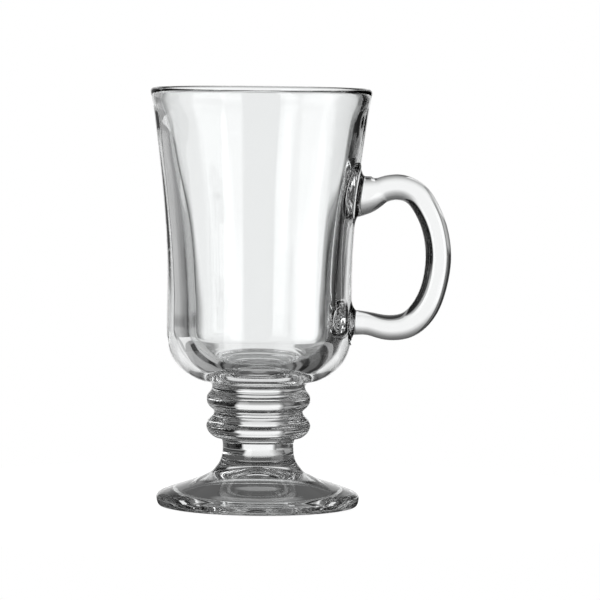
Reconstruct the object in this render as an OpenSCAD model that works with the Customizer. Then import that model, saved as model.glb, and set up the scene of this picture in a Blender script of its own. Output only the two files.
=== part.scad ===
/* [Bowl] */
// Outside diameter of the bowl at the widest point of its rim
rim_d = 78; // [74:0.5:84]
// Outside diameter of the bowl where its wall runs straight up
bowl_d = 65; // [62:0.5:68]
// Height of the bowl, from the joint under its neck up to the rim
bowl_h = 105.3; // [98:0.1:114]
// Glass thickness at the rim, which is fire-polished to a full round
rim_wall = 3; // [2.4:0.1:3.6]
// Glass thickness of the wall just above the rounded floor
bowl_wall = 7.5; // [5.5:0.25:8.5]
// Glass thickness from the joint under the neck up to the lowest point of the inside
floor_t = 8; // [6.5:0.25:10]
// Outside corner radius where the wall turns in under the bowl
bowl_corner_r = 16.5; // [14:0.25:17]
// Height of the rounded corner of the inside, from the lowest point of its floor up to the wall
cup_corner_h = 12.5; // [9:0.5:15]
// Width of that corner, from the floor out to the wall
cup_corner_w = 12; // [8:0.5:14]
// Rise of the floor of the inside, from its middle out to the corner
cup_dome = 0.4; // [0.2:0.1:0.8]
// Radius of the hollow fillet between the bowl and its neck
neck_fillet_r = 2; // [1.4:0.1:2.6]

/* [Rings] */
// Diameter of the neck between the bowl and the upper ring
neck_d = 32.8; // [31:0.2:34]
// Diameter of the upper ring at its widest
upper_ring_d = 36.6; // [35.4:0.2:39]
// Height of the upper ring, from the waist up to the neck
upper_ring_h = 8.5; // [8:0.1:11]
// Diameter of the waist between the two rings
waist_d = 31.4; // [29:0.2:33]
// Diameter of the lower ring at its widest
lower_ring_d = 36.8; // [35.4:0.2:39]
// Height of the lower ring, from the stem up to the waist
lower_ring_h = 9.3; // [8:0.1:11]
// Diameter of the lower ring's underside, where it sits on the stem
ring_seat_d = 30; // [28:0.2:32]

/* [Stem] */
// Diameter of the stem at its narrowest
stem_d = 25; // [22:0.2:26]
// Height of the stem, from the foot up to the lower ring
stem_h = 10.4; // [8:0.1:14]
// Diameter of the stem where it spreads into the foot
stem_foot_d = 29.6; // [28:0.2:32]
// Diameter of the stem right under the lower ring
stem_top_d = 26.6; // [26.2:0.2:27.8]

/* [Foot] */
// Outside diameter of the foot
foot_d = 71.4; // [66:0.2:80]
// Height of the foot, from the table up to the stem
foot_h = 13.5; // [13:0.1:18]
// Height of the rounded edge of the foot at its widest
foot_edge_h = 2.9; // [2:0.1:3.6]
// Width of the rounded edge of the foot, outside the flat ring that the mug stands on
foot_edge_w = 1.2; // [0.8:0.1:3]
// Width of that flat ring, outside the hollow under the foot
rest_ring_w = 7; // [5:0.1:9]
// Depth of the hollow under the foot
hollow_h = 11.5; // [8:0.1:11.8]

/* [Handle] */
// Distance from the mug's axis to the far side of the handle
handle_reach = 67.3; // [62:0.1:72]
// Thickness of the grip, seen from the side
handle_t = 9.1; // [7:0.1:9.6]
// Width of the grip, seen from the end
handle_w = 11.6; // [9:0.1:13]
// Width of both roots of the handle
root_w = 12.6; // [10:0.1:14]
// Height of the middle of the upper root above the table
upper_root_z = 109.3; // [104:0.1:112]
// Height of the middle of the lower root above the table
lower_root_z = 64.9; // [63:0.1:68]
// Height of the upper root, where the handle meets its pad
upper_root_h = 14.6; // [12:0.1:17]
// Height of the lower root, where the handle meets its pad
lower_root_h = 8.8; // [7:0.1:10]
// Distance that the moulded pads stand out from the wall
pad_out = 1.6; // [1.2:0.1:2.2]
// Distance that each pad spreads over the wall round the root
pad_spread = 4.6; // [2:0.1:5.4]
// Lean of the upper pad's face, which follows the flare of the wall, in degrees
upper_pad_lean = 10; // [4:0.5:12]
// Lean of the lower pad's face, in degrees
lower_pad_lean = 6; // [0:0.5:8]

/* [Hidden] */
glass = [0.8, 0.87, 0.86];

// How many straight steps an arc, and each stretch of a free curve, takes
$fn = 96;
arc_steps = 8;
curve_steps = 3;
// Sides of the handle's section, and its squareness, where 2 is an ellipse
section_sides = 24;
section_power = 2.4;
// Shape of the hollow under the foot, where 1 is a cone and 2 a round bowl
hollow_power = 1.4;

// Heights of the joints above the table, from the foot upwards
stem_z = foot_h;
lower_ring_z = stem_z + stem_h;
upper_ring_z = lower_ring_z + lower_ring_h;
bowl_z = upper_ring_z + upper_ring_h;
rim_z = bowl_z + bowl_h;

// Places on an arc, from one angle to another
function arc(r, x, z, from, to) =
    [for (i = [0:arc_steps])
        let (a = from + (to - from) * i / arc_steps)
        [x + r * cos(a), z + r * sin(a)]];

// A free curve through places of a list, each a row of numbers: it has one direction at each
function place(list, i) =
    i < 0 ? 2 * list[0] - list[1]
    : i >= len(list) ? 2 * list[len(list) - 1] - list[len(list) - 2]
    : list[i];
function between(a, b, c, d, t) =
    b + (c - a) * t / 2 + (2 * a - 5 * b + 4 * c - d) * t * t / 2
    + (3 * b - a - 3 * c + d) * t * t * t / 2;
function curve(list) =
    [for (k = [0:len(list) - 2], i = [0:curve_steps - 1])
        between(place(list, k - 1), list[k], list[k + 1], place(list, k + 2), i / curve_steps),
     list[len(list) - 1]];

// Bowl: radii, and heights of the turning points of its outline
rim_r = rim_d / 2;
bowl_r = bowl_d / 2;
neck_r = neck_d / 2;
lip_r = rim_wall / 2;
lip_z = rim_z - lip_r;
// The corner arc and the fillet touch each other, and the fillet touches the neck
corner_x = bowl_r - bowl_corner_r;
fillet_x = neck_r + neck_fillet_r;
corner_z = bowl_z + sqrt(pow(bowl_corner_r + neck_fillet_r, 2) - pow(fillet_x - corner_x, 2));
meet_angle = atan2(corner_z - bowl_z, fillet_x - corner_x);
// Share of the height of the flare, and how far it has opened there
flare_shares = [[0, 0], [0.2, 0], [0.37, 0.06], [0.53, 0.2], [0.65, 0.355], [0.77, 0.54],
                [0.87, 0.71], [0.935, 0.83], [0.975, 0.945], [1, 1]];
flare_line = curve(flare_shares);
flare_h = lip_z - corner_z;
function wall_r(z) = bowl_r + (rim_r - bowl_r) * lookup((z - corner_z) / flare_h, flare_line);
bowl_side = [for (p = flare_line) [bowl_r + (rim_r - bowl_r) * p[1], corner_z + flare_h * p[0]]];
// Share of the height of the inside wall, and how much of the glass's taper has gone there
taper_shares = [[0, 0], [0.08, 0.03], [0.165, 0.09], [0.335, 0.225], [0.505, 0.415],
                [0.675, 0.645], [0.84, 0.84], [1, 1]];
cup_floor_z = bowl_z + floor_t;
cup_corner_z = cup_floor_z + cup_corner_h;
cup_r = wall_r(cup_corner_z) - bowl_wall;
cup_side = [for (p = curve(taper_shares))
    let (z = cup_corner_z + (lip_z - cup_corner_z) * p[0])
    [wall_r(z) - bowl_wall + (bowl_wall - rim_wall) * p[1], z]];

// Pads and handle. Places along the handle's middle line, from the upper root to the lower:
// shares of its reach and of its drop, then the share of the grip's thickness, and how much of
// the upper and of the lower root's own size and lean is left
path_shares = [[0, 0, 1, 1, 0], [0.112, -0.014, 1, 0.7, 0], [0.233, -0.047, 1, 0.09, 0],
               [0.409, -0.076, 0.99, 0, 0], [0.577, -0.064, 0.98, 0, 0],
               [0.719, -0.011, 0.98, 0, 0], [0.839, 0.09, 0.985, 0, 0],
               [0.928, 0.209, 0.985, 0, 0], [0.98, 0.335, 0.99, 0, 0], [1, 0.461, 1, 0, 0],
               [0.988, 0.583, 0.995, 0, 0], [0.949, 0.711, 0.99, 0, 0],
               [0.88, 0.835, 1.02, 0, 0], [0.789, 0.929, 1.03, 0, 0], [0.656, 1.006, 1.01, 0, 0],
               [0.499, 1.036, 0.99, 0, 0], [0.332, 1.033, 0.955, 0, 0],
               [0.157, 1.008, 0.91, 0, 0.25], [0, 1, 1, 0, 1]];
upper_root_x = wall_r(upper_root_z) + pad_out;
lower_root_x = wall_r(lower_root_z) + pad_out;
grip_x = handle_reach - handle_t / 2;
path = [for (s = curve(path_shares))
    let (root_x = upper_root_x + (lower_root_x - upper_root_x) * s[1])
    [root_x + (grip_x - root_x) * s[0],
     upper_root_z + (lower_root_z - upper_root_z) * s[1],
     (handle_t * s[2] + (upper_root_h - handle_t) * s[3] + (lower_root_h - handle_t) * s[4]) / 2,
     (handle_w + (root_w - handle_w) * (s[3] + s[4])) / 2,
     s[3], s[4]]];
last = len(path) - 1;
// Direction of the path at each place, which turns into the lean of the pads at the ends
function heading(k) =
    let (next = path[min(k + 1, last)], before = path[max(k - 1, 0)],
         ahead = atan2(next[1] - before[1], next[0] - before[0]),
         along = k > last / 2 && ahead < 0 ? ahead + 360 : ahead)
    along + (-upper_pad_lean - along) * path[k][4] + (180 - lower_pad_lean - along) * path[k][5];

// Places round a rounded section: half height a and half width b, across a line that heads up at
// an angle
function rounded(c, power) = sign(c) * pow(abs(c), 2 / power);
function section(x, z, a, b, angle) =
    [for (i = [0:section_sides - 1])
        let (turn = 360 * i / section_sides,
             u = a * rounded(cos(turn), section_power),
             v = b * rounded(sin(turn), section_power))
        [x - u * sin(angle), v, z + u * cos(angle)]];
handle_rings = [for (k = [0:last]) section(path[k][0], path[k][1], path[k][2], path[k][3], heading(k))];

// A pad runs from the end of the handle down to the wall in a hollow flare, this far round a
// quarter turn, and then a little way into the glass
flare_turn = 72;
flare_steps = 4;
pad_sink = rim_wall / 2;
function pad_rings(k, angle) =
    concat(
        [for (i = [0:flare_steps])
            let (turn = flare_turn * i / flare_steps, more = pad_spread * (1 - cos(turn)))
            [for (p = section(path[k][0], path[k][1], path[k][2] + more, path[k][3] + more, angle))
                let (wall_x = sqrt(pow(wall_r(p[2]), 2) - pow(p[1], 2)))
                [wall_x + (p[0] - wall_x) * (1 - sin(turn)), p[1], p[2]]]],
        [let (more = pad_spread * (1 - cos(flare_turn)))
            [for (p = section(path[k][0], path[k][1], path[k][2] + more, path[k][3] + more, angle))
                [sqrt(pow(wall_r(p[2]), 2) - pow(p[1], 2)) - pad_sink, p[1], p[2]]]]);

module swept(rings) {
    n = len(rings[0]);
    rows = len(rings);
    polyhedron(
        points = [for (ring = rings, p = ring) p],
        faces = concat(
            [[for (i = [0:n - 1]) i]],
            [for (k = [0:rows - 2], i = [0:n - 1]) [k * n + i, (k + 1) * n + i, k * n + (i + 1) % n]],
            [for (k = [0:rows - 2], i = [0:n - 1])
                [k * n + (i + 1) % n, (k + 1) * n + i, (k + 1) * n + (i + 1) % n]],
            [[for (i = [n - 1:-1:0]) (rows - 1) * n + i]]));
}

module bowl() {
    color(glass) {
        rotate_extrude()
            polygon(concat(
                [[0, bowl_z]],
                arc(neck_fillet_r, fillet_x, bowl_z, 180, 180 - meet_angle),
                arc(bowl_corner_r, corner_x, corner_z, -meet_angle, 0),
                [for (i = [1:len(bowl_side) - 2]) bowl_side[i]],
                arc(lip_r, rim_r - lip_r, lip_z, 0, 180),
                [for (i = [len(cup_side) - 2:-1:0]) cup_side[i]],
                [for (i = [1:arc_steps])
                    let (a = 90 * i / arc_steps)
                    [cup_r - cup_corner_w * (1 - cos(a)),
                     cup_corner_z - (cup_corner_h - cup_dome) * sin(a)]],
                [[0, cup_floor_z]]));
        swept(pad_rings(0, heading(0)));
        swept(pad_rings(last, heading(last)));
    }
}

module handle() {
    color(glass)
        swept(handle_rings);
}

// Rings: share of the height of each ring, and how far it bulges there
upper_bulge = [[0, 0], [0.12, 0.31], [0.2, 0.6], [0.3, 0.84], [0.4, 0.97], [0.5, 1], [0.62, 0.965],
               [0.71, 0.8], [0.79, 0.55], [0.87, 0.27], [0.95, 0.1], [1, 0]];
lower_bulge = [[0, 0], [0.12, 0.5], [0.2, 0.71], [0.3, 0.88], [0.42, 1], [0.55, 0.94],
               [0.68, 0.75], [0.8, 0.38], [0.9, 0.08], [1, 0]];
module bead(z, h, low_r, high_r, wide_r, bulge) {
    color(glass)
        rotate_extrude()
            polygon(concat(
                [[0, z]],
                curve([for (s = bulge)
                    let (r = low_r + (high_r - low_r) * s[0])
                    [r + (wide_r - r) * s[1], z + h * s[0]]]),
                [[0, z + h]]));
}

module upper_ring() {
    bead(upper_ring_z, upper_ring_h, waist_d / 2, neck_d / 2, upper_ring_d / 2, upper_bulge);
}

module lower_ring() {
    bead(lower_ring_z, lower_ring_h, ring_seat_d / 2, waist_d / 2, lower_ring_d / 2, lower_bulge);
}

// Stem: share of its height, and how much of its spread into the foot or of its head is left there
stem_shares = [[0, 1, 0], [0.1, 0.66, 0], [0.25, 0.3, 0], [0.45, 0.06, 0], [0.65, 0, 0],
               [0.85, 0, 0.12], [0.96, 0, 0.6], [1, 0, 1]];
module stem() {
    stem_r = stem_d / 2;
    color(glass)
        rotate_extrude()
            polygon(concat(
                [[0, stem_z]],
                curve([for (s = stem_shares)
                    [stem_r + (stem_foot_d / 2 - stem_r) * s[1] + (stem_top_d / 2 - stem_r) * s[2],
                     stem_z + stem_h * s[0]]]),
                [[0, stem_z + stem_h]]));
}

// Foot: share of the way from the stem out to the edge, and share of the drop there
dome_shares = [[0, 0], [0.06, 0.14], [0.16, 0.26], [0.32, 0.4], [0.53, 0.55], [0.74, 0.69],
               [0.9, 0.81], [0.975, 0.9], [1, 1]];
module foot() {
    foot_r = foot_d / 2;
    neck_r = stem_foot_d / 2;
    rest_r = foot_r - foot_edge_w;
    hollow_r = rest_r - rest_ring_w;
    color(glass)
        rotate_extrude()
            polygon(concat(
                [[0, foot_h]],
                curve([for (s = dome_shares)
                    [neck_r + (foot_r - neck_r) * s[0], foot_h + (foot_edge_h - foot_h) * s[1]]]),
                [for (i = [1:arc_steps])
                    let (a = 90 * i / arc_steps)
                    [rest_r + foot_edge_w * cos(a), foot_edge_h * (1 - sin(a))]],
                [for (i = [arc_steps:-1:0])
                    let (share = i / arc_steps)
                    [hollow_r * share, hollow_h * (1 - pow(share, hollow_power))]]));
}

bowl();
upper_ring();
lower_ring();
stem();
foot();
handle();
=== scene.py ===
import math

import bmesh
import bpy
import numpy as np
from mathutils import Matrix, Vector, noise


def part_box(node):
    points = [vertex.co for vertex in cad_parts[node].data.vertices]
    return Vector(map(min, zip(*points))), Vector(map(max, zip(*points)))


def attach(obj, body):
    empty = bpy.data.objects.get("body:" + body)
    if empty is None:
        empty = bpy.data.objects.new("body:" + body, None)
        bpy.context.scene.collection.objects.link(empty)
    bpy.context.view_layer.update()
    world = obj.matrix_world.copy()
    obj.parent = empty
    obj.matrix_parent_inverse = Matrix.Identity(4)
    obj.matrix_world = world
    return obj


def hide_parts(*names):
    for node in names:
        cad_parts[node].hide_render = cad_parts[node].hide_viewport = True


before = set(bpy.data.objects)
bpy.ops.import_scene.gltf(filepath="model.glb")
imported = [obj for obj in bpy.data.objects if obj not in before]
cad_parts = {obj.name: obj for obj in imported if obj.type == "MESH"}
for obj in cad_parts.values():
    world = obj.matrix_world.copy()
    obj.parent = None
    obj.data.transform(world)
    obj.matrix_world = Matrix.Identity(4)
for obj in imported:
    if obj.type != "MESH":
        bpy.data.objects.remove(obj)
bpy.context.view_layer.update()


# Foot. A low dome of pressed soda-lime glass, hollow underneath, that stands on a flat ring 7 mm
# wide. It is one piece with all that stands on it: a gather of hot glass is pressed between a mould
# and a plunger, so the whole mug is drawn as one outline, from under the foot to the inside.
MM = 0.001


def top_of(part):
    """Height of the top of a CAD node, in mm."""
    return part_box(part)[1].z / MM


def reach_of(part):
    """Largest radius of a round CAD node, in mm. The handle lies along X, so Y is clear of it."""
    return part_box(part)[1].y / MM


def arc(middle, radii, start, end, steps):
    """Places on an ellipse in the plane of the outline, from one angle in degrees to another."""
    turns = [math.radians(start + (end - start) * i / steps) for i in range(steps + 1)]
    return [(middle[0] + radii[0] * math.cos(t), middle[1] + radii[1] * math.sin(t)) for t in turns]


foot_r = reach_of("foot")
foot_top = top_of("foot")
foot_edge_h = 2.9
foot_edge_w = 1.2
rest_ring_w = 7.0
rest_round_w = 0.25
rest_round_h = 0.12
hollow_h = 11.5
hollow_power = 1.4
stem_foot_r = 14.8
rest_r = foot_r - foot_edge_w
hollow_r = rest_r - rest_ring_w
hollow_shares = (0, 0.12, 0.25, 0.38, 0.5, 0.62, 0.74, 0.85, 0.94, 0.98)
rest_shares = (0.08, 0.16, 0.3, 0.5, 0.7, 0.84, 0.95)
# Share of the way out from the stem to the edge, and of the way down to it
dome_shares = [(0.06, 0.14), (0.16, 0.26), (0.32, 0.4), (0.53, 0.55), (0.74, 0.69), (0.9, 0.81),
               (0.975, 0.9)]
underside = [(hollow_r * share, hollow_h * (1 - share ** hollow_power)) for share in hollow_shares]
rest_ring = [(hollow_r + rest_round_w, rest_round_h)]
rest_ring += [(hollow_r + rest_ring_w * share, 0) for share in rest_shares]
edge = arc((rest_r, foot_edge_h), (foot_edge_w, foot_edge_h), start=-75, end=0, steps=4)
dome = [(stem_foot_r + (foot_r - stem_foot_r) * out, foot_top - (foot_top - foot_edge_h) * down)
        for out, down in reversed(dome_shares)]
# The stretches of the outline, each with the length of its steps in mm
outline = [(underside, 0.9), (rest_ring, 0.4), (edge, 0.5), (dome, 0.9)]


# Stem. A short solid waist that spreads into the foot, and widens again right under the lower ring.
# It is the same glass, pressed in the same mould.
stem_top = top_of("stem")
stem_r = 12.5
stem_top_r = 13.3
# Share of the way up, and how far the stem there takes the radius of its foot and that of its top
stem_shares = [(0, 1, 0), (0.1, 0.66, 0), (0.25, 0.3, 0), (0.45, 0.06, 0), (0.65, 0, 0),
               (0.85, 0, 0.14), (0.95, 0, 0.6)]
stem = [(stem_r + (stem_foot_r - stem_r) * low + (stem_top_r - stem_r) * high,
         foot_top + (stem_top - foot_top) * up) for up, low, high in stem_shares]
outline += [(stem, 0.6)]


# Rings. Two solid collars of the same glass, the mould's only ornament, pressed in one with the stem
# and the bowl. A rounded groove runs between them, and another right under the bowl.
ring_seat_r = 15.0
waist_r = 15.7
neck_r = 16.4
seat_out = 0.5
seat_drop = 0.1
seat_rise = 0.05
neck_out = 0.05
neck_rise = 0.1
# Share of the way up a ring, and of the way out from its grooves to its widest
lower_bulge = [(0.12, 0.5), (0.2, 0.71), (0.3, 0.88), (0.42, 1), (0.55, 0.94), (0.68, 0.75),
               (0.8, 0.38), (0.9, 0.08)]
upper_bulge = [(0.12, 0.31), (0.2, 0.6), (0.3, 0.84), (0.4, 0.97), (0.5, 1), (0.62, 0.965),
               (0.71, 0.8), (0.79, 0.55), (0.87, 0.27), (0.95, 0.1)]


def bead(low, high, low_r, high_r, wide_r, bulges):
    """The outline of one ring, from its lower groove to its upper one."""
    places = []
    for up, bulge in bulges:
        r = low_r + (high_r - low_r) * up
        places.append((r + (wide_r - r) * bulge, low + (high - low) * up))
    return places


lower_top = top_of("lower_ring")
upper_top = top_of("upper_ring")
seat = [(stem_top_r + seat_out, stem_top - seat_drop), (ring_seat_r, stem_top + seat_rise)]
lower_ring = bead(stem_top, lower_top, ring_seat_r, waist_r, reach_of("lower_ring"), lower_bulge)
waist = [(waist_r, lower_top)]
upper_ring = bead(lower_top, upper_top, waist_r, neck_r, reach_of("upper_ring"), upper_bulge)
neck = [(neck_r + neck_out, upper_top + neck_rise)]
outline += [(seat, 0.35), (lower_ring, 0.5), (waist, 0.5), (upper_ring, 0.5), (neck, 0.5)]


# Bowl. Thick pressed glass: its wall thins from 7.5 mm over the rounded bottom to a 3 mm rim, which
# is melted round in a flame after pressing. The plunger leaves the inside.
rim_top = top_of("bowl")
rim_r = reach_of("bowl")
wall_r = 32.5
corner_r = 16.5
fillet_r = 2.0
fillet_trim = 8
corner_trim = 10
lip_r = 1.5
low_wall = 7.5
floor_t = 8.0
floor_shares = (0.75, 0.5, 0.25, 0)
cup_corner_h = 12.5
cup_corner_w = 12
cup_dome = 0.4
corner_x = wall_r - corner_r
fillet_x = neck_r + fillet_r
corner_z = upper_top + math.sqrt((corner_r + fillet_r) ** 2 - (fillet_x - corner_x) ** 2)
meet = math.degrees(math.atan2(corner_z - upper_top, fillet_x - corner_x))
lip_z = rim_top - lip_r
# Share of the way up the wall, and of the way out to the rim
flare_shares = [(0, 0), (0.2, 0), (0.37, 0.06), (0.53, 0.2), (0.65, 0.355), (0.77, 0.54),
                (0.87, 0.71), (0.935, 0.83), (0.975, 0.945), (1, 1)]
# Share of the way up the inside, and how far the wall has thinned there to that of the rim
taper_shares = [(0, 0), (0.08, 0.03), (0.165, 0.09), (0.335, 0.225), (0.505, 0.415), (0.675, 0.645),
                (0.84, 0.84)]
share_step = 0.02


def spline(places, step):
    """Runs one smooth curve, without a jump in its curvature, through rows of numbers, and returns
    rows along it. step is a length, or one for each row."""
    rows = np.array(places, float)
    steps = np.broadcast_to(step, (len(rows),))
    gaps = np.maximum(np.hypot(*np.diff(rows[:, :2], axis=0).T), 1e-6)
    along = np.concatenate([[0], np.cumsum(gaps)])
    n = len(rows)
    system, right = np.eye(n), np.zeros_like(rows)
    for i in range(1, n - 1):
        system[i, i - 1:i + 2] = gaps[i - 1], 2 * (gaps[i - 1] + gaps[i]), gaps[i]
        right[i] = 6 * ((rows[i + 1] - rows[i]) / gaps[i] - (rows[i] - rows[i - 1]) / gaps[i - 1])
    bend = np.linalg.solve(system, right)
    result = []
    for i in range(n - 1):
        h = gaps[i]
        start = rows[i] / h - bend[i] * h / 6
        end = rows[i + 1] / h - bend[i + 1] * h / 6
        count = max(1, round(h / steps[i]))
        for t in (along[i] + h * np.arange(count) / count):
            a, b = along[i + 1] - t, t - along[i]
            result.append((bend[i] * a ** 3 + bend[i + 1] * b ** 3) / (6 * h) + start * a + end * b)
    return np.array(result + [rows[-1]])


flare = spline(flare_shares, share_step)


def side_r(z):
    """Radius of the straight and flaring part of the bowl's outside at a height."""
    up = (z - corner_z) / (lip_z - corner_z)
    return wall_r + (rim_r - wall_r) * np.interp(up, flare[:, 0], flare[:, 1])


# The fillet and the corner are trimmed where they meet, and the smooth curve joins them
fillet = arc((fillet_x, upper_top), (fillet_r, fillet_r), start=165, end=180 - meet + fillet_trim,
             steps=3)
corner = arc((corner_x, corner_z), (corner_r, corner_r), start=corner_trim - meet, end=0, steps=9)
outside = []
for up, out in flare_shares[1:-1]:
    z = corner_z + (lip_z - corner_z) * up
    outside.append((side_r(z), z))
lip = arc((rim_r - lip_r, lip_z), (lip_r, lip_r), start=0, end=180, steps=6)
cup_floor_z = upper_top + floor_t
cup_corner_z = cup_floor_z + cup_corner_h
cup_r = side_r(cup_corner_z) - low_wall
inside = []
for up, thinner in reversed(taper_shares):
    z = cup_corner_z + (lip_z - cup_corner_z) * up
    inside.append((side_r(z) - low_wall + (low_wall - 2 * lip_r) * thinner, z))
flat_r = cup_r - cup_corner_w
bottom = arc((flat_r, cup_corner_z), (cup_corner_w, cup_corner_h - cup_dome), start=-8, end=-88, steps=7)
bottom += [(flat_r * share, cup_floor_z + cup_dome * share ** 2) for share in floor_shares]
outline += [(fillet, 0.5), (corner, 0.8), (outside, 1.7), (lip, 0.4), (inside, 1.7), (bottom, 0.9)]

# The curve is drawn a few places past the axis at both ends, so that it crosses the axis level
past = 3
axis_gap = 0.05
merge_gap = 0.001
columns = 240
rows = [place for stretch, step in outline for place in stretch]
steps = [step for stretch, step in outline for place in stretch]
before = [(-r, z) for r, z in rows[past:0:-1]]
after = [(-r, z) for r, z in rows[-2:-2 - past:-1]]
line = spline(before + rows + after, [steps[0]] * past + steps + [steps[-1]] * past)
line = line[line[:, 0] > axis_gap]
line = np.vstack([[0, rows[0][1]], line, [0, rows[-1][1]]])

glass_bm = bmesh.new()
verts = [glass_bm.verts.new((r, 0, z)) for r, z in line]
edges = [glass_bm.edges.new(pair) for pair in zip(verts, verts[1:])]
bmesh.ops.spin(glass_bm, geom=verts + edges, cent=(0, 0, 0), axis=(0, 0, 1), dvec=(0, 0, 0),
               angle=math.tau, steps=columns, use_merge=True)
bmesh.ops.remove_doubles(glass_bm, verts=glass_bm.verts, dist=merge_gap)

# Hot glass doesn't fill a mould or follow a plunger evenly, so the wall is a little wavy, most of
# all inside. The mould's parts leave a fine seam in line with the handle and two more on the wall.
inner_wave = 0.12
outer_wave = 0.02
wave_long = Vector((7, 7, 80))
wave_fade = 10
wave_low = corner_z - wave_fade
still_r = 4
outer_skin = 1
skin_blend = 2
seam_turns = (0, 112.5, -112.5)
seam_half_turn = 0.2
seam_h = 0.035
seam_low = corner_z - 4
seam_high = rim_top - 8
for vert in glass_bm.verts:
    x, y, z = vert.co
    r = math.hypot(x, y)
    if z < wave_low or r < still_r:
        continue
    # How deep in the wall the place is: 0 on the outside and 1 on the inside
    if z > corner_z:
        deep = min(1, max(0, (side_r(z) - r - outer_skin) / skin_blend))
    else:
        deep = float(z > cup_floor_z and r < cup_r)
    place = Vector((x / wave_long.x, y / wave_long.y, z / wave_long.z))
    fade = min(1, (z - wave_low) / wave_fade, max(0, (rim_top - z) / wave_fade))
    push = fade * (outer_wave + (inner_wave - outer_wave) * deep) * noise.noise(place)
    turn = math.degrees(math.atan2(y, x))
    on_seam = any(abs(turn - seam) < seam_half_turn for seam in seam_turns)
    if on_seam and seam_low < z < seam_high and deep == 0:
        push += seam_h
    vert.co.x += push * x / r
    vert.co.y += push * y / r
bmesh.ops.recalc_face_normals(glass_bm, faces=glass_bm.faces)


# Handle. A solid C of the same glass, pressed with the bowl in one mould, with a rounded section
# and a hollow flare at each root where it runs into the wall.
handle_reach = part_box("handle")[1].x / MM
handle_t = 9.1
handle_w = 11.6
root_w = 12.6
upper_root_z = 109.3
lower_root_z = 64.9
upper_root_h = 14.6
lower_root_h = 8.8
pad_out = 1.6
pad_spread = 4.6
upper_lean = math.radians(10)
lower_lean = math.radians(6)
section_power = 2.4
around = 48
# The line along its middle: share of the way out, share of the way down from the upper root to the
# lower one, thickness, and how far the upper and the lower root shape it there
path_shares = [(0, 0, 1, 1, 0), (0.112, -0.014, 1, 0.7, 0), (0.233, -0.047, 1, 0.09, 0),
               (0.409, -0.076, 0.99, 0, 0), (0.577, -0.064, 0.98, 0, 0), (0.719, -0.011, 0.98, 0, 0),
               (0.839, 0.09, 0.985, 0, 0), (0.928, 0.209, 0.985, 0, 0), (0.98, 0.335, 0.99, 0, 0),
               (1, 0.461, 1, 0, 0), (0.988, 0.583, 0.995, 0, 0), (0.949, 0.711, 0.99, 0, 0),
               (0.88, 0.835, 1.02, 0, 0), (0.789, 0.929, 1.03, 0, 0), (0.656, 1.006, 1.01, 0, 0),
               (0.499, 1.036, 0.99, 0, 0), (0.332, 1.033, 0.955, 0, 0), (0.157, 1.008, 0.91, 0, 0.25),
               (0, 1, 1, 0, 1)]
# How far round the flare each ring of places stands, in degrees, and the depth there of the fine
# groove that the joint between the mould's parts leaves round each root
flare_rings = [(8, 0), (12, 0.05), (18, 0.1), (24, 0.05), (29, 0), (38, 0), (48, 0), (57, 0), (66, 0),
               (74, 0), (80, 0)]
sink = 1.2

shares = spline(path_shares, share_step)
root_x = side_r(upper_root_z) + pad_out + (side_r(lower_root_z) - side_r(upper_root_z)) * shares[:, 1]
path_x = root_x + (handle_reach - handle_t / 2 - root_x) * shares[:, 0]
path_z = upper_root_z + (lower_root_z - upper_root_z) * shares[:, 1]
upper, lower = np.clip(shares[:, 3], 0, 1), np.clip(shares[:, 4], 0, 1)
half_h = (handle_t * shares[:, 2] + (upper_root_h - handle_t) * upper
          + (lower_root_h - handle_t) * lower) / 2
half_w = (handle_w + (root_w - handle_w) * (upper + lower)) / 2
heading = np.unwrap(np.arctan2(np.gradient(path_z), np.gradient(path_x)))
heading = heading + (-upper_lean - heading) * upper
heading = heading + (-math.pi - lower_lean - heading) * lower


def rounded(c):
    """Takes a cosine or a sine from a circle to the fuller curve of the handle's section."""
    return math.copysign(abs(c) ** (2 / section_power), c)


def section(x, z, a, b, angle):
    """Places round one section of the handle: half height a, half width b, on a line that heads up
    at an angle."""
    places = []
    for i in range(around):
        turn = math.tau * i / around
        u, v = a * rounded(math.cos(turn)), b * rounded(math.sin(turn))
        places.append(Vector((x - u * math.sin(angle), v, z + u * math.cos(angle))))
    return places


def wall_x(p):
    """How far out along X the bowl's outside stands, at a place's own Y and height."""
    return math.sqrt(side_r(p.z) ** 2 - p.y ** 2)


def pad_sections(k):
    """The hollow flare at one root, from where it is deep in the wall out to the handle."""
    sections = []
    for degrees, groove in reversed(flare_rings):
        t = math.radians(degrees)
        more = pad_spread * (1 - math.cos(t)) - groove
        ring = section(path_x[k], path_z[k], half_h[k] + more, half_w[k] + more, heading[k])
        for p in ring:
            wall = wall_x(p)
            p.x = wall + (p.x - wall) * (1 - math.sin(t))
        sections.append(ring)
    deep = [Vector((wall_x(p) - sink, p.y, p.z)) for p in sections[0]]
    return [deep] + sections


last = len(path_x) - 1
sections = pad_sections(0)
sections += [section(path_x[k], path_z[k], half_h[k], half_w[k], heading[k]) for k in range(last + 1)]
sections += reversed(pad_sections(last))
handle_bm = bmesh.new()
loops = []
for places in sections:
    made = bmesh.ops.create_circle(handle_bm, cap_ends=False, radius=1, segments=around)["verts"]
    for vert, place in zip(made, places):
        vert.co = place
    loops.append(list({edge for vert in made for edge in vert.link_edges}))
for this_loop, next_loop in zip(loops, loops[1:]):
    bmesh.ops.bridge_loops(handle_bm, edges=this_loop + next_loop)
bmesh.ops.holes_fill(handle_bm, edges=loops[0] + loops[-1])
bmesh.ops.recalc_face_normals(handle_bm, faces=handle_bm.faces)


def as_object(bm, name):
    """A bmesh in mm becomes an object in metres, with smooth shading."""
    bmesh.ops.scale(bm, vec=(MM, MM, MM), verts=bm.verts)
    mesh = bpy.data.meshes.new(name)
    bm.to_mesh(mesh)
    bm.free()
    mesh.shade_smooth()
    obj = bpy.data.objects.new(name, mesh)
    bpy.context.scene.collection.objects.link(obj)
    return obj


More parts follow.
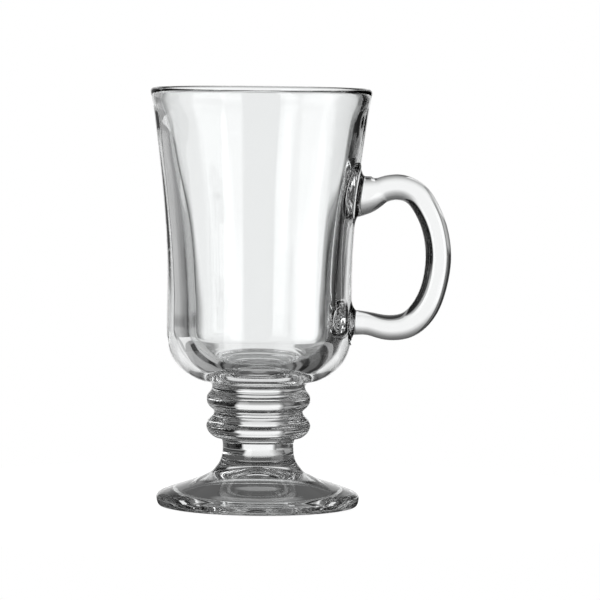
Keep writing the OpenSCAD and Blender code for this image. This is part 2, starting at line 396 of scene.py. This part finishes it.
# The two become one closed skin, because a face inside the glass would show as a line
mug = as_object(glass_bm, "glass_mug")
handle = as_object(handle_bm, "handle_tool")
weld = mug.modifiers.new("weld", "BOOLEAN")
weld.operation, weld.solver, weld.object = "UNION", "EXACT", handle
joined = bpy.data.meshes.new_from_object(mug.evaluated_get(bpy.context.evaluated_depsgraph_get()))
mug.modifiers.remove(weld)
mug.data = joined
bpy.data.objects.remove(handle)
joined.shade_smooth()
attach(mug, "root")
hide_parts("bowl", "upper_ring", "lower_ring", "stem", "foot", "handle")

# Pressed soda-lime glass, clear and hardly tinted. The mould chills its skin a little unevenly,
# which leaves ripples about 9 mm long and a few thousandths of a millimetre deep. What is mirrored
# in it and seen through it wavers a little.
skin_long = 9 * MM
skin_deep = 0.004 * MM


def linear(code):
    """An sRGB hex colour as the linear values that the shader takes."""
    parts = [int(code[i:i + 2], 16) / 255 for i in (1, 3, 5)]
    return [c / 12.92 if c <= 0.04045 else ((c + 0.055) / 1.055) ** 2.4 for c in parts] + [1]


def node(tree, kind, settings=None, **links):
    """Adds a node with its settings, and links or sets its inputs by name, or by number as i0, i1."""
    made = tree.nodes.new(kind)
    for name, value in (settings or {}).items():
        setattr(made, name, value)
    for name, value in links.items():
        numbered = name[0] == "i" and name[1:].isdigit()
        socket = made.inputs[int(name[1:]) if numbered else name.replace("_", " ")]
        if isinstance(value, bpy.types.NodeSocket):
            tree.links.new(value, socket)
        else:
            socket.default_value = value
    return made


glass = bpy.data.materials.new("pressed_soda_lime_glass")
glass.use_nodes = True
tree = glass.node_tree
shader = tree.nodes["Principled BSDF"]
ripples = node(tree, "ShaderNodeTexNoise", Vector=node(tree, "ShaderNodeTexCoord").outputs["Object"],
               Scale=1 / skin_long, Detail=1.0, Roughness=0.5)
skin = node(tree, "ShaderNodeBump", Height=ripples.outputs[0], Distance=skin_deep, Strength=1.0)
tree.links.new(skin.outputs[0], shader.inputs["Normal"])
shader.inputs["Base Color"].default_value = linear("#fdfefe")
shader.inputs["Transmission Weight"].default_value = 1
shader.inputs["IOR"].default_value = 1.52
shader.inputs["Roughness"].default_value = 0.0
mug.data.materials.clear()
mug.data.materials.append(glass)


# Studio. A white card stands behind the mug, two softboxes stand in front of it, and the rest of
# the room is dim. The camera sees plain white. The glass sees the cards, because a clear thing has
# no look but what is bent through it, and more cards stand where the other views look.
white = linear("#ffffff")


def ramp(tree, value, low, high, stops):
    """A grey ramp through (place, grey), for values from low to high."""
    share = node(tree, "ShaderNodeMapRange", Value=value, From_Min=low, From_Max=high).outputs[0]
    made = node(tree, "ShaderNodeValToRGB", Fac=share)
    marks = made.color_ramp.elements
    while len(marks) < len(stops):
        marks.new(1)
    for mark, (at, grey) in zip(marks, stops):
        mark.position, mark.color = (at - low) / (high - low), (grey, grey, grey, 1)
    return made.outputs[0]


def dimmed(tree, light, share):
    """A light where another value dims it."""
    return node(tree, "ShaderNodeMath", {"operation": "MULTIPLY"}, i0=light, i1=share).outputs[0]


def brightest(tree, *lights):
    """The strongest of several lights."""
    best = lights[0]
    for light in lights[1:]:
        best = node(tree, "ShaderNodeMath", {"operation": "MAXIMUM"}, i0=best, i1=light).outputs[0]
    return best


def in_degrees(tree, angle):
    """An angle in radians as degrees."""
    turned = node(tree, "ShaderNodeMath", {"operation": "MULTIPLY"}, i0=angle, i1=180 / math.pi)
    return turned.outputs[0]


def bearing_of(tree, place):
    """The bearing of a place from the mug, in degrees: 0 straight behind it, 90 on its right."""
    turn = node(tree, "ShaderNodeMath", {"operation": "ARCTAN2"}, i0=place[0], i1=place[1])
    return in_degrees(tree, turn.outputs[0])


def behind_glass(tree, for_eye, for_glass):
    """Mixes what the camera and the light see with what is seen in or through the glass."""
    path = node(tree, "ShaderNodeLightPath").outputs
    bent = node(tree, "ShaderNodeMath", {"operation": "ADD"}, i0=path["Is Glossy Ray"],
                i1=path["Is Transmission Ray"])
    return node(tree, "ShaderNodeMixShader", i0=bent.outputs[0], i1=for_eye.outputs[0],
                i2=for_glass.outputs[0]).outputs[0]


# The room with its two softboxes, by bearing and by rise over the level of the table, in degrees
around_room = [(-180, 0.05), (-160, 0.05), (-158, 2.1), (-138, 2.1), (-136, 0.05), (-110, 0.03),
               (-84, 0.03), (-70, 0.1), (-58, 0.05), (-52, 0.2), (-48, 0.2), (-45, 0.04), (-33, 0.04),
               (-28, 0.2), (-20, 0.2), (0, 0.1), (12, 0.004), (48, 0.004), (54, 0.1), (88, 0.1),
               (95, 2.1), (132, 2.1), (138, 0.03), (180, 0.05)]
up_room = [(-90, 0.3), (-25, 0.5), (-18, 1), (14, 1), (24, 0.25), (90, 0.25)]
# What stands low behind the mug
low_room = [(-180, 0), (-75, 0), (-62, 0.17), (-58, 0.07), (-54, 0.18), (-50, 0.25), (-42, 0.3),
            (-38, 0.35), (-34, 0.48), (-26, 0.5), (-20, 0.65), (-16, 1), (12, 1), (14, 0.8), (18, 0.4),
            (22, 0.02), (50, 0.02), (56, 0), (180, 0)]
up_low_room = [(-60, 0.5), (-30, 0.6), (-16, 1), (-7, 1), (-4, 0)]
# The ceiling behind the mug
ceiling = [(-70, 0), (-60, 0.13), (60, 0.13), (70, 0)]
up_ceiling = [(30, 0), (34, 1), (70, 1), (75, 0.5), (90, 0.5)]
# A low card for the view from the back left
low_cards = [(114, 0), (118, 0.85), (152, 0.85), (156, 0)]
under_cards = [(-40, 0.3), (-34, 1), (-9, 1), (-8, 0)]

world = bpy.data.worlds.new("studio")
bpy.context.scene.world = world
world.use_nodes = True
tree = world.node_tree
tree.nodes.clear()
toward = node(tree, "ShaderNodeSeparateXYZ",
              i0=node(tree, "ShaderNodeTexCoord").outputs["Generated"]).outputs
bearing = bearing_of(tree, toward)
rise = in_degrees(tree, node(tree, "ShaderNodeMath", {"operation": "ARCSINE"}, i0=toward[2]).outputs[0])
lights = [dimmed(tree, ramp(tree, bearing, -180, 180, round_mug), ramp(tree, rise, -90, 90, upwards))
          for round_mug, upwards in ((around_room, up_room), (ceiling, up_ceiling),
                                     (low_room, up_low_room), (low_cards, under_cards))]
seen = node(tree, "ShaderNodeBackground", Color=white, Strength=brightest(tree, *lights))
plain = node(tree, "ShaderNodeBackground", Color=white, Strength=1.0)
node(tree, "ShaderNodeOutputWorld", Surface=behind_glass(tree, plain, seen))

card_away = 1.2
card_low = -1.15
card_high = 0.95
# In metres: how bright the cards are by height, and how the one behind the mug fades at its edges
card_light = [(-1.13, 0.34), (-0.93, 0.38), (-0.78, 0.45), (-0.67, 0.55), (-0.58, 0.65), (-0.5, 0.75),
              (-0.44, 0.82), (-0.37, 0.88), (-0.3, 0.95), (-0.21, 1), (0.14, 1), (0.17, 0.92),
              (0.215, 0.8), (0.277, 0.65), (0.322, 0.53), (0.386, 0.42), (0.43, 0.36), (0.5, 0.3),
              (0.55, 0.25), (0.625, 0.2), (0.95, 0.13)]
card_edges = [(-0.5, 0.05), (-0.46, 0.2), (-0.41, 0.5), (-0.37, 0.92), (-0.34, 1), (0.33, 1),
              (0.37, 0.6), (0.4, 0.3)]
# It doesn't fade low down, and the other cards, which stand less far back, don't fade at all
even_low = [(-0.35, 1), (-0.25, 0)]
even_others = [(card_away - 0.05, 1), (card_away - 0.01, 0)]
card_paint = bpy.data.materials.new("lit_white_card")
card_paint.use_nodes = True
tree = card_paint.node_tree
tree.nodes.clear()
spot = node(tree, "ShaderNodeSeparateXYZ",
            i0=node(tree, "ShaderNodeTexCoord").outputs["Object"]).outputs
sideways = brightest(tree, ramp(tree, spot[0], -card_away, card_away, card_edges),
                     ramp(tree, spot[2], card_low, card_high, even_low),
                     ramp(tree, spot[1], -card_away, card_away, even_others))
light = dimmed(tree, sideways, ramp(tree, spot[2], card_low, card_high, card_light))
glow = node(tree, "ShaderNodeEmission", Color=white, Strength=light)
node(tree, "ShaderNodeOutputMaterial", Surface=glow.outputs[0])


def card(name, bearing, left, right, top, mirrored=True):
    """An upright card that only the glass sees, on a bearing from the mug. One that isn't mirrored is
    seen through the glass alone."""
    bm = bmesh.new()
    bmesh.ops.create_grid(bm, x_segments=1, y_segments=1, size=0.5,
                          matrix=Matrix.Rotation(math.radians(-bearing), 4, "Z")
                          @ Matrix.Translation(((left + right) / 2, card_away, (card_low + top) / 2))
                          @ Matrix.Rotation(math.pi / 2, 4, "X")
                          @ Matrix.Diagonal((right - left, top - card_low, 1, 1)))
    mesh = bpy.data.meshes.new(name)
    bm.to_mesh(mesh)
    bm.free()
    mesh.materials.append(card_paint)
    obj = bpy.data.objects.new(name, mesh)
    bpy.context.scene.collection.objects.link(obj)
    obj.visible_camera = obj.visible_diffuse = obj.visible_shadow = False
    obj.visible_glossy = mirrored


card("card_behind", bearing=0, left=-0.5, right=0.4, top=card_high)
# These two stand behind the mug as seen from the handle's side and from the front right
card("card_left", bearing=-90, left=-0.27, right=0.27, top=card_high, mirrored=False)
card("card_low_left", bearing=-45, left=-0.36, right=0.36, top=-0.28, mirrored=False)


# Table. A white sheet, which the camera sees as plain white with the mug's faint shade on it. The
# glass of the foot sees painted light and shade on it in rings and wedges, such as lamps, cards and
# a clear mug would throw on a sheet.
table_r = 0.15
table_drop = 0.0002
table_glow = 0.9
table_matt = 0.2
# By the distance from the mug's axis, in metres: the painted rings of light and shade, darkest under
# and round the foot, the way out along the painted wedges, and a painted pale arc under the front of the
# foot
painted_table_rings = [(0, 0.3), (0.006, 0.3), (0.009, 0.1), (0.026, 0.1), (0.028, 0.2), (0.033, 0.2),
               (0.035, 0.02), (0.04, 0.02), (0.042, 0.2), (0.047, 0.2), (0.05, 0.02), (0.06, 0.02),
               (0.063, 0.12), (0.085, 0.12), (0.09, 0.04), (0.12, 0.04), (0.125, 0.3), (0.15, 0.3)]
wedge_start = [(0, 0), (0.042, 0), (0.045, 0.75), (0.06, 0.85), (0.15, 1)]
front_rows = [(0, 0), (0.018, 0), (0.021, 1), (0.026, 1), (0.029, 0), (0.15, 0)]
# By the bearing, in degrees: the painted wedges of light, and the painted pale arc
wedges = [(-180, 0), (-107, 0), (-105, 0.6), (-75, 0.6), (-73, 0), (-62, 0), (-60, 0.4), (-34, 0.4),
          (-31, 0.08), (-25, 0.15), (-19, 0.4), (-15, 0.7), (-12, 1), (10.5, 1), (13.5, 0), (114, 0),
          (118, 0.85), (152, 0.85), (156, 0), (180, 0)]
painted_front_arc = [(-180, 0.25), (-145, 0.25), (-130, 0), (130, 0), (145, 0.25), (180, 0.25)]
table_bm = bmesh.new()
bmesh.ops.create_circle(table_bm, cap_ends=True, radius=table_r, segments=96)
table_mesh = bpy.data.meshes.new("table")
table_bm.to_mesh(table_mesh)
table_bm.free()
table = bpy.data.objects.new("table", table_mesh)
bpy.context.scene.collection.objects.link(table)
table.location.z = -table_drop
paint = bpy.data.materials.new("white_table")
paint.use_nodes = True
tree = paint.node_tree
tree.nodes.clear()
place = node(tree, "ShaderNodeTexCoord").outputs["Object"]
away = node(tree, "ShaderNodeVectorMath", {"operation": "LENGTH"}, i0=place).outputs["Value"]
bearing = bearing_of(tree, node(tree, "ShaderNodeSeparateXYZ", i0=place).outputs)
wedge = dimmed(tree, ramp(tree, bearing, -180, 180, wedges), ramp(tree, away, 0, table_r, wedge_start))
front = dimmed(tree, ramp(tree, bearing, -180, 180, painted_front_arc),
               ramp(tree, away, 0, table_r, front_rows))
# The painted light and shade that only the glass sees on the sheet
bright = brightest(tree, wedge, ramp(tree, away, 0, table_r, painted_table_rings), front)
seen = node(tree, "ShaderNodeEmission", Color=white, Strength=bright)
glow = node(tree, "ShaderNodeEmission", Color=white, Strength=table_glow)
matt = node(tree, "ShaderNodeBsdfDiffuse", Color=(table_matt, table_matt, table_matt, 1))
lit = node(tree, "ShaderNodeAddShader", i0=glow.outputs[0], i1=matt.outputs[0])
node(tree, "ShaderNodeOutputMaterial", Surface=behind_glass(tree, lit, seen))
table_mesh.materials.append(paint)


# Camera. It stands a little above the level of the rim and looks down by about four degrees, as the
# ellipses of the rim and the foot show in the photo. It aims between the bowl and the handle, and
# leans by the photo's own small tilt.
view_distance = 1.58
camera_height = 0.18
camera_lean = 0.6
aim = Vector((0.01425, 0, 0.0726))
sensor_w = 36
frame_pixels = 600
# Millimetres at the mug's distance to a pixel of the frame
pixel_mm = 0.3513
scene = bpy.context.scene
camera = bpy.data.objects.new("camera", bpy.data.cameras.new("camera"))
scene.collection.objects.link(camera)
camera.data.sensor_width = sensor_w
camera.data.lens = sensor_w / pixel_mm * view_distance / MM / frame_pixels
camera.location = (aim.x, -view_distance, camera_height)
look = (aim - camera.location).to_track_quat("-Z", "Y")
camera.rotation_mode = "QUATERNION"
camera.rotation_quaternion = look @ Matrix.Rotation(math.radians(camera_lean), 3, "Z").to_quaternion()
scene.camera = camera
scene.view_settings.view_transform = "Standard"
# Light takes many turns in thick clear glass before it leaves
scene.cycles.max_bounces = 24
scene.cycles.glossy_bounces = 16
scene.cycles.transmission_bounces = 24
